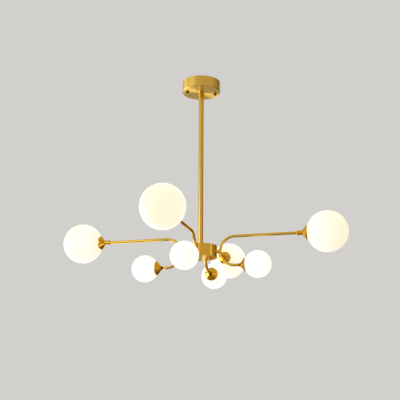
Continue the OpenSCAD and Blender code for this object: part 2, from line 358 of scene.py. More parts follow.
def swept(name: str, path: list[Vector], across: Vector, radius: float, segments: int) -> bpy.types.Object:
    """Draws a closed round bar along a path that lies in one plane.

    Args:
        name: the piece's name.
        path: points of the bar's axis.
        across: the plane's normal.
        radius: radius of the bar.
        segments: number of points on each ring.

    Returns:
        The new object.
    """
    grid = Grid(name)
    rings: list[list[int]] = []
    lengths: list[float] = [0.0]
    for index, point in enumerate(path):
        before = path[max(index - 1, 0)]
        after = path[min(index + 1, len(path) - 1)]
        side = across.cross(after - before).normalized()
        angles = [FULL_TURN * step / segments for step in range(segments)]
        rings.append(grid.ring([
            point + (side * math.cos(angle) + across * math.sin(angle)) * radius for angle in angles
        ]))
        if index:
            lengths.append(lengths[-1] + (point - before).length * MM)
    grid.skin(rings, lengths)
    grid.lid(rings[0], flip=True)
    grid.lid(rings[-1], flip=False)
    return grid.build()


# ---------------------------------------------------------------- finishes


# The sockets of Blender's Mix node for two colours and for the colour that comes out.
MIX_FIRST = 6
MIX_SECOND = 7
MIX_RESULT = 2


def linear(code: str) -> Colour:
    """Turns an sRGB colour to the linear values that shaders take, by the sRGB standard's curve.

    Args:
        code: the colour as "#RRGGBB".

    Returns:
        Linear red, green and blue, and full opacity.
    """
    levels = [int(code[i : i + 2], 16) / 255 for i in (1, 3, 5)]
    red, green, blue = [v / 12.92 if v <= 0.04045 else ((v + 0.055) / 1.055) ** 2.4 for v in levels]
    return (red, green, blue, 1.0)


def add_node(
    tree: bpy.types.NodeTree,
    kind: str,
    props: dict[str, object] | None = None,
    values: dict[str | int, object] | None = None,
    links: dict[str | int, bpy.types.NodeSocket] | None = None,
) -> bpy.types.Node:
    """Adds a node with its settings and links.

    An input goes by its name, or by its number where several inputs of the node share a name.

    Args:
        tree: the node tree that gets it.
        kind: Blender's name of the node type.
        props: the node's own settings.
        values: constants of its inputs.
        links: sockets that feed its inputs.

    Returns:
        The new node.
    """
    node = tree.nodes.new(kind)
    for name, value in (props or {}).items():
        setattr(node, name, value)
    for name, value in (values or {}).items():
        node.inputs[name].default_value = value
    for name, source in (links or {}).items():
        tree.links.new(source, node.inputs[name])
    return node


def spread(middle: float, width: float) -> dict[str, float]:
    """Gives a range's limits, so that a noise spreads a value evenly round its middle.

    Args:
        middle: the value in the middle.
        width: the distance from the least to the greatest value.

    Returns:
        Constants for a Map Range node. Nearly all of a noise lies between 0.3 and 0.7.
    """
    return {
        "From Min": 0.3, "From Max": 0.7, "To Min": middle - width / 2, "To Max": middle + width / 2,
    }


@dataclass(frozen=True)
class Finish:
    """What a surface is made of and how it was finished, with the record's slot for it."""

    name: str
    slot: str

    def surface(self, tree: bpy.types.NodeTree) -> bpy.types.NodeSocket:
        """Lays the finish's nodes in a tree and gives the shader's output."""
        raise NotImplementedError

    def material(self) -> bpy.types.Material:
        """Gives the finish's material, made the first time it is asked for.

        Returns:
            The material.
        """
        made = bpy.data.materials.get(self.name)
        if made is None:
            made = bpy.data.materials.new(self.name)
            made.use_nodes = True
            made.node_tree.nodes.clear()
            shader = self.surface(made.node_tree)
            add_node(made.node_tree, "ShaderNodeOutputMaterial", links={"Surface": shader})
        return made

    def dress(self, piece: bpy.types.Object) -> None:
        """Puts the finish on a piece.

        Args:
            piece: a new piece, or a node of the frame.
        """
        piece.data.materials.clear()
        piece.data.materials.append(self.material())
        for polygon in piece.data.polygons:
            polygon.material_index = 0


@dataclass(frozen=True)
class Brass(Finish):
    """Lacquered brass with the fine lines that a brush or a polishing wheel leaves.

    Real lines stand about 0.1 mm apart, too fine to show, so they are drawn as coarse as they need.
    """

    colour: str = "#F2CD59"
    dull: str = "#E5BC4B"
    edge: str = "#FBEBC0"  # what it reflects at a grazing angle
    roughness: float = 0.38
    roughness_spread: float = 0.08
    anisotropy: float = 0.85
    line: float = 1.6  # width of a line as it is drawn
    line_length: float = 30.0
    depth: float = 0.006  # depth of a line
    lacquer: float = 0.12
    lacquer_roughness: float = 0.25
    patch: float = 35.0  # size of the slow patches in its colour
    patch_share: float = 0.6  # how much the patches count in the colour
    line_share: float = 0.5  # how much the lines count in it

    def line_field(self, tree: bpy.types.NodeTree) -> tuple[bpy.types.NodeSocket, bpy.types.NodeSocket]:
        """Gives the vector and the fourth coordinate in which the lines are drawn."""
        raise NotImplementedError

    def tangent(self, tree: bpy.types.NodeTree) -> bpy.types.NodeSocket:
        """Gives the direction from which the spread of a highlight is turned."""
        raise NotImplementedError

    def surface(self, tree: bpy.types.NodeTree) -> bpy.types.NodeSocket:
        """Lays the lines in roughness, height and colour, and slow patches in colour.

        Args:
            tree: the material's node tree.

        Returns:
            The shader's output.
        """
        vector, fourth = self.line_field(tree)
        lines = add_node(
            tree, "ShaderNodeTexNoise", {"noise_dimensions": "4D"},
            {"Scale": 1 / (self.line * MM), "Detail": 3.0, "Roughness": 0.65},
            {"Vector": vector, "W": fourth},
        )
        place = add_node(tree, "ShaderNodeTexCoord")
        patches = add_node(
            tree, "ShaderNodeTexNoise", values={"Scale": 1 / (self.patch * MM), "Detail": 2.0},
            links={"Vector": place.outputs["Object"]},
        )
        # Both noises have 0.5 as their middle, and their sum is moved to have it too.
        offset = (1 - self.patch_share - self.line_share) / 2
        shade = add_node(
            tree, "ShaderNodeMath", {"operation": "MULTIPLY_ADD"}, {1: self.patch_share, 2: offset},
            {0: patches.outputs[0]},
        )
        streak = add_node(
            tree, "ShaderNodeMath", {"operation": "MULTIPLY_ADD", "use_clamp": True},
            {1: self.line_share}, {0: lines.outputs[0], 2: shade.outputs[0]},
        )
        tint = add_node(
            tree, "ShaderNodeMix", {"data_type": "RGBA"},
            {MIX_FIRST: linear(self.dull), MIX_SECOND: linear(self.colour)}, {0: streak.outputs[0]},
        )
        gloss = add_node(
            tree, "ShaderNodeMapRange", values=spread(self.roughness, self.roughness_spread),
            links={"Value": lines.outputs[0]},
        )
        relief = add_node(
            tree, "ShaderNodeBump", values={"Strength": 1.0, "Distance": self.depth * MM},
            links={"Height": lines.outputs[0]},
        )
        # A quarter turn from the tangent spreads a highlight across the lines.
        shader = add_node(
            tree, "ShaderNodeBsdfPrincipled",
            values={
                "Metallic": 1.0, "Specular Tint": linear(self.edge),
                "Anisotropic": self.anisotropy, "Anisotropic Rotation": 0.25,
                "Coat Weight": self.lacquer, "Coat Roughness": self.lacquer_roughness,
            },
            links={
                "Base Color": tint.outputs[MIX_RESULT], "Roughness": gloss.outputs[0],
                "Normal": relief.outputs[0], "Tangent": self.tangent(tree),
            },
        )
        return shader.outputs[0]


@dataclass(frozen=True)
class TurnedBrass(Brass):
    """Brass brushed while it turned, so that its lines are rings round the piece's Z axis."""

    ring_radius: float = 60.0  # where a line has its full length; it is shorter nearer the axis

    def line_field(self, tree: bpy.types.NodeTree) -> tuple[bpy.types.NodeSocket, bpy.types.NodeSocket]:
        """Takes the radius, the height and, much slower, the direction from the axis.

        Args:
            tree: the material's node tree.

        Returns:
            The vector and the fourth coordinate.
        """
        place = add_node(tree, "ShaderNodeTexCoord")
        flat = add_node(
            tree, "ShaderNodeVectorMath", {"operation": "MULTIPLY"}, {1: (1.0, 1.0, 0.0)},
            {0: place.outputs["Object"]},
        )
        radius = add_node(tree, "ShaderNodeVectorMath", {"operation": "LENGTH"}, links={0: flat.outputs[0]})
        heading = add_node(
            tree, "ShaderNodeVectorMath", {"operation": "NORMALIZE"}, links={0: flat.outputs[0]}
        )
        reach = self.line * MM * self.ring_radius / self.line_length
        slow = add_node(
            tree, "ShaderNodeVectorMath", {"operation": "SCALE"}, {"Scale": reach},
            {0: heading.outputs[0]},
        )
        around = add_node(tree, "ShaderNodeSeparateXYZ", links={0: slow.outputs[0]})
        height = add_node(tree, "ShaderNodeSeparateXYZ", links={0: place.outputs["Object"]})
        vector = add_node(
            tree, "ShaderNodeCombineXYZ",
            links={"X": radius.outputs["Value"], "Y": height.outputs["Z"], "Z": around.outputs["X"]},
        )
        return vector.outputs[0], around.outputs["Y"]

    def tangent(self, tree: bpy.types.NodeTree) -> bpy.types.NodeSocket:
        """Gives the direction round the Z axis."""
        return add_node(tree, "ShaderNodeTangent", {"direction_type": "RADIAL", "axis": "Z"}).outputs[0]


@dataclass(frozen=True)
class DrawnBrass(Brass):
    """Upright brass tube polished lengthwise, so that its lines run along its Z axis."""

    def line_field(self, tree: bpy.types.NodeTree) -> tuple[bpy.types.NodeSocket, bpy.types.NodeSocket]:
        """Takes the place across the tube and, much slower, the height.

        Args:
            tree: the material's node tree.

        Returns:
            The vector and the fourth coordinate.
        """
        place = add_node(tree, "ShaderNodeTexCoord")
        drawn_out = add_node(
            tree, "ShaderNodeVectorMath", {"operation": "MULTIPLY"},
            {1: (1.0, 1.0, self.line / self.line_length)}, {0: place.outputs["Object"]},
        )
        height = add_node(tree, "ShaderNodeSeparateXYZ", links={0: drawn_out.outputs[0]})
        return drawn_out.outputs[0], height.outputs["Z"]

    def tangent(self, tree: bpy.types.NodeTree) -> bpy.types.NodeSocket:
        """Gives the direction round the Z axis."""
        return add_node(tree, "ShaderNodeTangent", {"direction_type": "RADIAL", "axis": "Z"}).outputs[0]


@dataclass(frozen=True)
class BentBrass(Brass):
    """Brass tube polished lengthwise and then bent, so that its lines follow the bend."""

    radius: float = 5.25  # of the tube

    def line_field(self, tree: bpy.types.NodeTree) -> tuple[bpy.types.NodeSocket, bpy.types.NodeSocket]:
        """Takes the place round the tube and, much slower, the place along it.

        Args:
            tree: the material's node tree.

        Returns:
            The vector and the fourth coordinate.
        """
        uv = add_node(tree, "ShaderNodeUVMap", {"uv_map": "UVMap"})
        unrolled = add_node(tree, "ShaderNodeSeparateXYZ", links={0: uv.outputs[0]})
        angle = add_node(
            tree, "ShaderNodeMath", {"operation": "MULTIPLY"}, {1: FULL_TURN},
            {0: unrolled.outputs["X"]},
        )
        round_tube: list[bpy.types.NodeSocket] = []
        for operation in ("COSINE", "SINE"):
            wave = add_node(tree, "ShaderNodeMath", {"operation": operation}, links={0: angle.outputs[0]})
            scaled = add_node(
                tree, "ShaderNodeMath", {"operation": "MULTIPLY"}, {1: self.radius * MM},
                {0: wave.outputs[0]},
            )
            round_tube.append(scaled.outputs[0])
        along = add_node(
            tree, "ShaderNodeMath", {"operation": "MULTIPLY"}, {1: self.line / self.line_length},
            {0: unrolled.outputs["Y"]},
        )
        vector = add_node(
            tree, "ShaderNodeCombineXYZ",
            links={"X": round_tube[0], "Y": round_tube[1], "Z": along.outputs[0]},
        )
        return vector.outputs[0], along.outputs[0]

    def tangent(self, tree: bpy.types.NodeTree) -> bpy.types.NodeSocket:
        """Gives the direction round the tube."""
        props = {"direction_type": "UV_MAP", "uv_map": "UVMap"}
        return add_node(tree, "ShaderNodeTangent", props).outputs[0]


@dataclass(frozen=True)
class OpalGlass(Finish):
    """Blown opal glass, satin etched, with the bulb's light through it painted on as a glow: brightest near
    the bulb.

    The etching's real grain is about 0.05 mm, too fine to show, so it is drawn ten times as coarse.
    """

    bulb_z: float = 43.0  # height of the bulb's middle along the lamp's axis
    near: float = 55.0  # distance from the bulb up to which the glow is brightest
    far: float = 150.0  # distance from which it is dimmest
    cloud: float = 30.0  # size of the clouds in the opal
    cloud_reach: float = 12.0  # how far they move the edge of the glow
    collar_start: float = 15.0  # height along that axis up to which the cup's painted shade lies on the glass
    collar_end: float = 48.0  # height from which it doesn't
    collar_shade: float = 0.9
    bright: str = "#FFFBEC"
    dim: str = "#FFE8C2"
    strength: float = 0.81
    body: str = "#ABA598"
    body_cloud: str = "#B5B1A6"
    etch: float = 0.6  # size of the etching's grain as it is drawn
    etch_depth: float = 0.01
    etch_strength: float = 0.4

    def surface(self, tree: bpy.types.NodeTree) -> bpy.types.NodeSocket:
        """Paints the glow, which fades and warms with the distance from the bulb, and paints the cup's
        shade on the glass behind the cup.

        Args:
            tree: the material's node tree.

        Returns:
            The shader's output.
        """
        place = add_node(tree, "ShaderNodeTexCoord")
        distance = add_node(
            tree, "ShaderNodeVectorMath", {"operation": "DISTANCE"}, {1: (0.0, 0.0, self.bulb_z * MM)},
            {0: place.outputs["Object"]},
        )
        clouds = add_node(
            tree, "ShaderNodeTexNoise", values={"Scale": 1 / (self.cloud * MM), "Detail": 3.0},
            links={"Vector": place.outputs["Object"]},
        )
        uneven = add_node(
            tree, "ShaderNodeMath", {"operation": "MULTIPLY_ADD"},
            {1: self.cloud_reach * MM, 2: -self.cloud_reach / 2 * MM}, {0: clouds.outputs[0]},
        )
        reach = add_node(
            tree, "ShaderNodeMath", {"operation": "ADD"},
            links={0: distance.outputs["Value"], 1: uneven.outputs[0]},
        )
        fade = add_node(
            tree, "ShaderNodeMapRange", {"interpolation_type": "SMOOTHSTEP"},
            {"From Min": self.near * MM, "From Max": self.far * MM}, {"Value": reach.outputs[0]},
        )
        height = add_node(tree, "ShaderNodeSeparateXYZ", links={0: place.outputs["Object"]})
        # Painted shade: the glow is dimmed and warmed near the neck, where the cup shades the glass.
        collar = add_node(
            tree, "ShaderNodeMapRange",
            values={
                "From Min": self.collar_start * MM, "From Max": self.collar_end * MM,
                "To Min": self.collar_shade, "To Max": 0.0,
            },
            links={"Value": height.outputs["Z"]},
        )
        shaded = add_node(
            tree, "ShaderNodeMath", {"operation": "MAXIMUM"},
            links={0: fade.outputs[0], 1: collar.outputs[0]},
        )
        # Painted glow: emission that stands for the bulb's light through the opal, dimmer and warmer
        # further from the bulb.
        glow = add_node(
            tree, "ShaderNodeMix", {"data_type": "RGBA"},
            {MIX_FIRST: linear(self.bright), MIX_SECOND: linear(self.dim)}, {0: shaded.outputs[0]},
        )
        etched = add_node(
            tree, "ShaderNodeTexNoise", values={"Scale": 1 / (self.etch * MM), "Detail": 2.0},
            links={"Vector": place.outputs["Object"]},
        )
        relief = add_node(
            tree, "ShaderNodeBump",
            values={"Strength": self.etch_strength, "Distance": self.etch_depth * MM},
            links={"Height": etched.outputs[0]},
        )
        body = add_node(
            tree, "ShaderNodeMix", {"data_type": "RGBA"},
            {MIX_FIRST: linear(self.body_cloud), MIX_SECOND: linear(self.body)}, {0: clouds.outputs[0]},
        )
        shader = add_node(
            tree, "ShaderNodeBsdfPrincipled",
            values={"Roughness": 0.38, "IOR": 1.5, "Emission Strength": self.strength},
            links={
                "Base Color": body.outputs[MIX_RESULT], "Emission Color": glow.outputs[MIX_RESULT],
                "Normal": relief.outputs[0],
            },
        )
        return shader.outputs[0]


@dataclass(frozen=True)
class Grained(Finish):
    """A moulded, fired, plated, blackened or woven surface, with one grain in colour, gloss and height.

    The real grain of most of them is under 0.1 mm, too fine to show, so it is drawn at 0.5 mm or more.
    """

    colour: str = "#808080"
    shade: str = "#707070"
    metallic: float = 0.0
    roughness: float = 0.5
    roughness_spread: float = 0.1
    grain: float = 0.5  # size of the grain as it is drawn
    depth: float = 0.01  # depth of the grain
    glow: float = 0.0

    def surface(self, tree: bpy.types.NodeTree) -> bpy.types.NodeSocket:
        """Lays the one grain for all three.

        Args:
            tree: the material's node tree.

        Returns:
            The shader's output.
        """
        place = add_node(tree, "ShaderNodeTexCoord")
        grain = add_node(
            tree, "ShaderNodeTexNoise", values={"Scale": 1 / (self.grain * MM), "Detail": 4.0},
            links={"Vector": place.outputs["Object"]},
        )
        tint = add_node(
            tree, "ShaderNodeMix", {"data_type": "RGBA"},
            {MIX_FIRST: linear(self.shade), MIX_SECOND: linear(self.colour)}, {0: grain.outputs[0]},
        )
        gloss = add_node(
            tree, "ShaderNodeMapRange", values=spread(self.roughness, self.roughness_spread),
            links={"Value": grain.outputs[0]},
        )
        relief = add_node(
            tree, "ShaderNodeBump", values={"Strength": 1.0, "Distance": self.depth * MM},
            links={"Height": grain.outputs[0]},
        )
        shader = add_node(
            tree, "ShaderNodeBsdfPrincipled",
            values={"Metallic": self.metallic, "Emission Strength": self.glow},
            links={
                "Base Color": tint.outputs[MIX_RESULT], "Emission Color": tint.outputs[MIX_RESULT],
                "Roughness": gloss.outputs[0], "Normal": relief.outputs[0],
            },
        )
        return shader.outputs[0]


@dataclass(frozen=True)
class FadingPaint(Finish):
    """Matt paint on a card round the object, which fades to a darker tone round the Z axis: painted light
    and shade for metal to reflect.
    """

    light: str = "#E2CCAE"
    dark: str = "#6E5A3C"
    light_until: float = -30.0  # direction up to which it is light, in degrees from +X
    dark_from: float = 62.0  # direction from which it is dark
    roughness: float = 0.9

    def surface(self, tree: bpy.types.NodeTree) -> bpy.types.NodeSocket:
        """Fades the colour with the direction from the axis.

        Args:
            tree: the material's node tree.

        Returns:
            The shader's output.
        """
        place = add_node(tree, "ShaderNodeTexCoord")
        heading = add_node(
            tree, "ShaderNodeTexGradient", {"gradient_type": "RADIAL"},
            links={"Vector": place.outputs["Object"]},
        )
        # The gradient is 0.5 towards +X, and a full turn is 1.
        fade = add_node(
            tree, "ShaderNodeMapRange", {"interpolation_type": "SMOOTHSTEP"},
            {"From Min": 0.5 + self.light_until / 360, "From Max": 0.5 + self.dark_from / 360},
            {"Value": heading.outputs["Fac"]},
        )
        # Painted light and shade: light towards one side of the card, dark towards the other, for metal to
        # reflect.
        tint = add_node(
            tree, "ShaderNodeMix", {"data_type": "RGBA"},
            {MIX_FIRST: linear(self.light), MIX_SECOND: linear(self.dark)}, {0: fade.outputs[0]},
        )
        shader = add_node(
            tree, "ShaderNodeBsdfPrincipled", values={"Roughness": self.roughness},
            links={"Base Color": tint.outputs[MIX_RESULT]},
        )
        return shader.outputs[0]


@dataclass(frozen=True)
class FloorPaint(Finish):
    """Matt floor paint, which a camera below the floor looks through."""

    colour: str = "#DCD8D2"
    roughness: float = 0.85

    def surface(self, tree: bpy.types.NodeTree) -> bpy.types.NodeSocket:
        """Lays the paint, and opens its underside for the camera alone.

        Args:
            tree: the material's node tree.

        Returns:
            The shader's output.
        """
        paint = add_node(
            tree, "ShaderNodeBsdfPrincipled",
            values={"Base Color": linear(self.colour), "Roughness": self.roughness},
        )
        side = add_node(tree, "ShaderNodeNewGeometry")
        path = add_node(tree, "ShaderNodeLightPath")
        below = add_node(
            tree, "ShaderNodeMath", {"operation": "MULTIPLY"},
            links={0: side.outputs["Backfacing"], 1: path.outputs["Is Camera Ray"]},
        )
        clear = add_node(tree, "ShaderNodeBsdfTransparent")
        both = add_node(
            tree, "ShaderNodeMixShader",
            links={0: below.outputs[0], 1: paint.outputs[0], 2: clear.outputs[0]},
        )
        return both.outputs[0]


# The canopy is brass sheet, spun and then brushed as it turned, under thick satin lacquer. The fine
# rings spread a highlight down its wall, and the lacquer lays a cream haze over it.
CANOPY_BRASS = TurnedBrass("brushed_brass_canopy", "canopy_brass", lacquer=0.9, lacquer_roughness=0.4)

# The stem is brass tube, drawn through a die, polished lengthwise and lacquered. It shows an even golden
# band from top to bottom, soft at its edges.
STEM_BRASS = DrawnBrass(
    "drawn_brass_stem", "stem_brass", roughness=0.24, anisotropy=0.0, line=1.2, line_length=60.0,
    depth=0.0015, lacquer=0.4, lacquer_roughness=0.35,
)

# The hub is spun brass sheet too, polished over its brushing and lacquered thinly. It mirrors the room
# as upright stripes, one bright and the others amber.
HUB_BRASS = TurnedBrass("brushed_brass_hub", "hub_brass", roughness=0.22, anisotropy=0.6)

# The cups are thin brass, spun over a former and polished. They are a deeper orange, with hard light
# and dark down the cone.
CUP_BRASS = TurnedBrass(
    "spun_brass_cups", "cup_brass", colour="#F0BE3E", dull="#DBA42C", roughness=0.15, anisotropy=0.5,
    line=0.9, line_length=18.0, depth=0.004, lacquer=0.04,
)

# Nipples, sleeves and screw cups are brass bar, turned on a lathe and polished. Each edge shows as a
# small bright ring.
POLISHED_BRASS = TurnedBrass(
    "turned_brass_fittings", "polished_brass", colour="#F0C44A", dull="#DFAF38", roughness=0.2,
    anisotropy=0.4, line=0.8, depth=0.004, lacquer=0.06,
)

# The arms are thin brass tube, drawn, polished and bent. They show a thread of light along the top
# and brown below it.
ARM_BRASS = BentBrass(
    "drawn_brass_arms", "arm_brass", colour="#F5CC54", dull="#EABC46", roughness=0.17, anisotropy=0.0,
    line=1.0, depth=0.0012, lacquer=0.08,
)

# The rings at the small cups are dark brass, a painted shade: they draw a dark line for the shaded gap
# between arm and cup.
JOINT_SHADE_BRASS = Grained(
    "browned_brass_rings", "polished_brass", "#6A4C1E", "#523A14", metallic=1.0, roughness=0.35
)

# The globes are blown opal glass, etched to a satin. Their glow is painted: an even emission, cream at the
# rim, stands for the bulb's light through the glass, and nothing of the bulb shows through. The body is a
# mid grey, because the painted glow is added to the light on it.
LARGE_OPAL = OpalGlass("etched_opal_glass_large", "opal_glass")
SMALL_OPAL = OpalGlass(
    "etched_opal_glass_small", "opal_glass", near=50.0, far=85.0, collar_end=36.0, bright="#FFFEF6",
    dim="#FFF7DE", strength=0.89,
)

# Bracket and nuts are pressed steel, zinc plated. They are a cool grey with a faint mottle.
ZINC_STEEL = Grained(
    "zinc_plated_steel", "zinc_steel", "#C9CBCC", "#A9ABAD", metallic=1.0, roughness=0.38, grain=1.2
)

# The thumb screws are steel with a black oxide, oiled. They are nearly black, with a brown sheen.
BLACK_STEEL = Grained("black_oxide_steel", "black_steel", "#17110E", "#0C0807", roughness=0.55)

# The terminal block is moulded nylon: milky, and half matt.
NYLON = Grained("moulded_nylon", "block_nylon", "#E9E6DE", "#DEDAD0", roughness=0.5)

# The leads have an extruded sheath: off-white, with a little more gloss than the block.
SHEATH = Grained("extruded_sheath", "lead_sheath", "#E4E0D5", "#D6D1C4", roughness=0.45)

# The lampholders are fired steatite: a dry, dense white with a fine pitted grain.
STEATITE = Grained("fired_steatite", "holder_ceramic", "#EEEAE0", "#E0DACD", roughness=0.6, depth=0.02)

# The bulbs are glass frosted with acid, and lit: a warm white that hides the filament.
BULB_GLASS = Grained(
    "frosted_bulb_glass", "bulb_frosted", "#FFF6E0", "#FBEBCB", roughness=0.35, glow=1.5
)

# The seals are moulded silicone: a greyish white, softly dull.
SILICONE = Grained("moulded_silicone", "seal_silicone", "#D9D8D3", "#CCCBC5", roughness=0.55)

# Matt emulsion on the studio's floor and card, rolled on: no highlight, so brass mirrors flat tones.
FLOOR_PAINT = FloorPaint("matt_paint_floor", "floor")
# The card's fade is painted light and shade, for brass to reflect as its bright and darker sides.
CARD_PAINT = FadingPaint("matt_paint_card", "card")

# Felt and cloth of the studio, pressed and woven: deep tones without a highlight, painted shade for brass
# to mirror.
FELT = Grained("dark_felt", "card", "#3A2F20", "#2E2518", roughness=0.9, grain=4.0, depth=0.0)
CLOTH = Grained("brown_cloth", "card", "#A5916F", "#988462", roughness=0.9, grain=4.0, depth=0.0)


# ---------------------------------------------------------------- sub-assemblies


@dataclass
class SubAssembly:
    """A part of the light that is built on its own, from nodes that stay and pieces made anew."""

    frame: dict

    def build(self) -> list[bpy.types.Object]:
        """Makes and dresses the sub-assembly's pieces and gives them."""
        raise NotImplementedError

    def keep(self, node: str, finish: Finish) -> bpy.types.Object:
        """Dresses a node whose solid already has the real shape.

        Args:
            node: the node's name.
            finish: its finish.

        Returns:
            The node's object.
        """
        piece = self.frame["nodes"][node]
        finish.dress(piece)
        return piece

    def seat(
        self, piece: bpy.types.Object, place: Matrix, finish: Finish, body: str, node: str | None = None
    ) -> bpy.types.Object:
        """Puts a new piece in its place, dresses it and lets it stand for a node.

        Args:
            piece: the new piece, drawn in its own axes.
            place: where it goes, in metres.
            finish: its finish.
            body: the body that it rides on.
            node: the node that it stands for, if any.

        Returns:
            The piece.
        """
        piece.matrix_world = place
        finish.dress(piece)
        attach(piece, body)
        if node:
            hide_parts(node)
        return piece


@dataclass
class Canopy(SubAssembly):
    """The canopy with what holds it and what it hides."""

    head_r: float = 4.0  # radius of a thumb screw's head
    grip_r: float = 4.8
    grip_edge: float = 0.5
    grip_bite: float = 0.1  # how far the grip reaches into the head
    ridges: int = 24
    ridge_h: float = 0.35
    points_per_ridge: int = 4

    def build(self) -> list[bpy.types.Object]:
        """Dresses the canopy's nodes and adds the grips of its thumb screws.

        Returns:
            The pieces.
        """
        return [
            self.keep("canopy", CANOPY_BRASS),
            self.keep("screw_cups", POLISHED_BRASS),
            self.keep("canopy_screws", BLACK_STEEL),
            *self.grips(),
            self.keep("ceiling_bracket", ZINC_STEEL),
            self.keep("terminal_block", NYLON),
            self.keep("wiring", SHEATH),
        ]

    def grips(self) -> list[bpy.types.Object]:
        """Rolls the knurled grips round the heads of the two thumb screws.

        Returns:
            The right grip and the left one.
        """
        screws = Extent.of("canopy_screws")
        low = screws.low.z
        top = Extent.of("screw_cups").low.z
        bore_r = self.head_r - self.grip_bite
        outline = rounded([
            (bore_r, low, CRISP),
            (self.grip_r, low, self.grip_edge),
            (self.grip_r, top, self.grip_edge),
            (bore_r, top, CRISP),
        ])
        at = Vector((screws.high.x - self.head_r, screws.high.y - self.head_r, 0.0)) * MM
        grips: list[bpy.types.Object] = []
        for name, way in (("right", 1), ("left", -1)):
            points = self.ridges * self.points_per_ridge
            piece = turned(f"thumb_screw_grip_{name}", outline, points, swell=self.ridge)
            grips.append(self.seat(piece, Matrix.Translation(at * way), BLACK_STEEL, FIXTURE))
        return grips

    def ridge(self, angle: float, r: float, z: float) -> float:
        """Gives the depth of the knurling at an angle.

        Args:
            angle: direction from the screw's axis, in radians.
            r: radius of the outline there.
            z: height of the outline there. The ridges are the same at every height.

        Returns:
            What to add to the radius.
        """
        if r < self.grip_r - self.grip_edge:
            return 0.0
        return self.ridge_h * (math.cos(self.ridges * angle) - 1) / 2


@dataclass
class StemAndHub(SubAssembly):
    """The stem, the drum that it carries, and their nuts."""

    def build(self) -> list[bpy.types.Object]:
        """Dresses the nodes of the stem and the hub.

        Returns:
            The pieces.
        """
        return [
            self.keep("stem", STEM_BRASS),
            self.keep("stem_nuts", ZINC_STEEL),
            self.keep("hub_body", HUB_BRASS),
            self.keep("hub_cover", HUB_BRASS),
            self.keep("arm_nuts", ZINC_STEEL),
        ]


@dataclass
class Arm(SubAssembly):
    """One bent tube with its nipple and its locking sleeve."""

    side: Side
    ring_points: int = 32
    bend_steps: int = 48
    bore_r: float = 2.8  # the nipple's bore, for the lead
    nipple_length: float = 20.0
    thread_r: float = 4.6
    thread_edge: float = 0.4
    collar_edge: float = 0.5
    collar_seat: float = 0.2  # how far the nipple's collar sits into the hub's wall
    collar_overlap: float = 1.5  # how far it reaches over the tube's bend
    sleeve_points: int = 48
    sleeve_cone: float = 1.4  # width and length of the cone at the sleeve's back
    sleeve_edge: float = 0.3
    sleeve_hollow: float = 1.0  # depth of the hollow face towards the cup

    def build(self) -> list[bpy.types.Object]:
        """Makes the tube, the nipple and the sleeve.

        Returns:
            The pieces.
        """
        return [self.tube(), self.nipple(), self.sleeve()]

    def tube(self) -> bpy.types.Object:
        """Draws the tube: a long straight above, a half circle at the hub, a short straight below.

        Returns:
            The tube.
        """
        box = Extent.of("arm_right")
        radius = tube_radius()
        bend_r = box.size.z / 2 - radius
        bend_x = box.low.x + radius + bend_r
        small_holder = Extent.of("lampholder_right_small")
        large_holder = Extent.of("lampholder_right_large")
        short_end = small_holder.low.x + box.high.x - large_holder.low.x
        middle = Vector((bend_x, 0.0, box.centre.z))
        path = [Vector((box.high.x, 0.0, box.centre.z + bend_r))]
        for step in range(self.bend_steps + 1):
            angle = math.pi * (0.5 + step / self.bend_steps)
            path.append(middle + Vector((math.cos(angle), 0.0, math.sin(angle))) * bend_r)
        path.append(Vector((short_end, 0.0, box.centre.z - bend_r)))
        name = f"bent_tube_{self.side.label}"
        piece = swept(name, path, Vector((0.0, 1.0, 0.0)), radius, self.ring_points)
        return self.seat(piece, self.side.turn, ARM_BRASS, FIXTURE, f"arm_{self.side.label}")

    def nipple(self) -> bpy.types.Object:
        """Turns the collar between the hub and the tube, with its thread inside the hub.

        Returns:
            The nipple.
        """
        nipples = Extent.of("arm_nipples")
        collar_r = nipples.size.z / 2
        thread_start = -nipples.low.x - self.nipple_length
        start = Extent.of("hub_body").high.x - self.collar_seat
        end = Extent.of("arm_right").low.x + self.collar_overlap
        outline = rounded([
            (self.bore_r, thread_start, EASED),
            (self.thread_r, thread_start, self.thread_edge),
            (self.thread_r, start, CRISP),
            (collar_r, start, self.collar_edge),
            (collar_r, end, EASED),
            (self.bore_r, end, CRISP),
        ])
        piece = turned(f"nipple_{self.side.label}", outline, self.ring_points)
        place = self.side.turn @ Matrix.Translation((0, 0, nipples.centre.z * MM)) @ OUTWARDS
        return self.seat(piece, place, POLISHED_BRASS, FIXTURE, "arm_nipples")

    def sleeve(self) -> bpy.types.Object:
        """Turns the locking sleeve behind the large cup.

        Returns:
            The sleeve.
        """
        box = Extent.of("sleeve_right")
        cup = Extent.of("cup_right_large")
        bore_r = tube_radius()
        radius = box.size.z / 2
        start = box.low.x - cup.low.x
        end = box.high.x - cup.low.x
        outline = rounded([
            (bore_r, start, CRISP),
            (radius - self.sleeve_cone, start, self.sleeve_edge),
            (radius, start + self.sleeve_cone, self.sleeve_edge),
            (radius, end, self.sleeve_edge),
            (bore_r, end - self.sleeve_hollow, CRISP),
        ])
        piece = turned(f"locking_sleeve_{self.side.label}", outline, self.sleeve_points)
        place = lamp_place(self.side, Tier.LARGE)
        return self.seat(piece, place, POLISHED_BRASS, FIXTURE, f"sleeve_{self.side.label}")


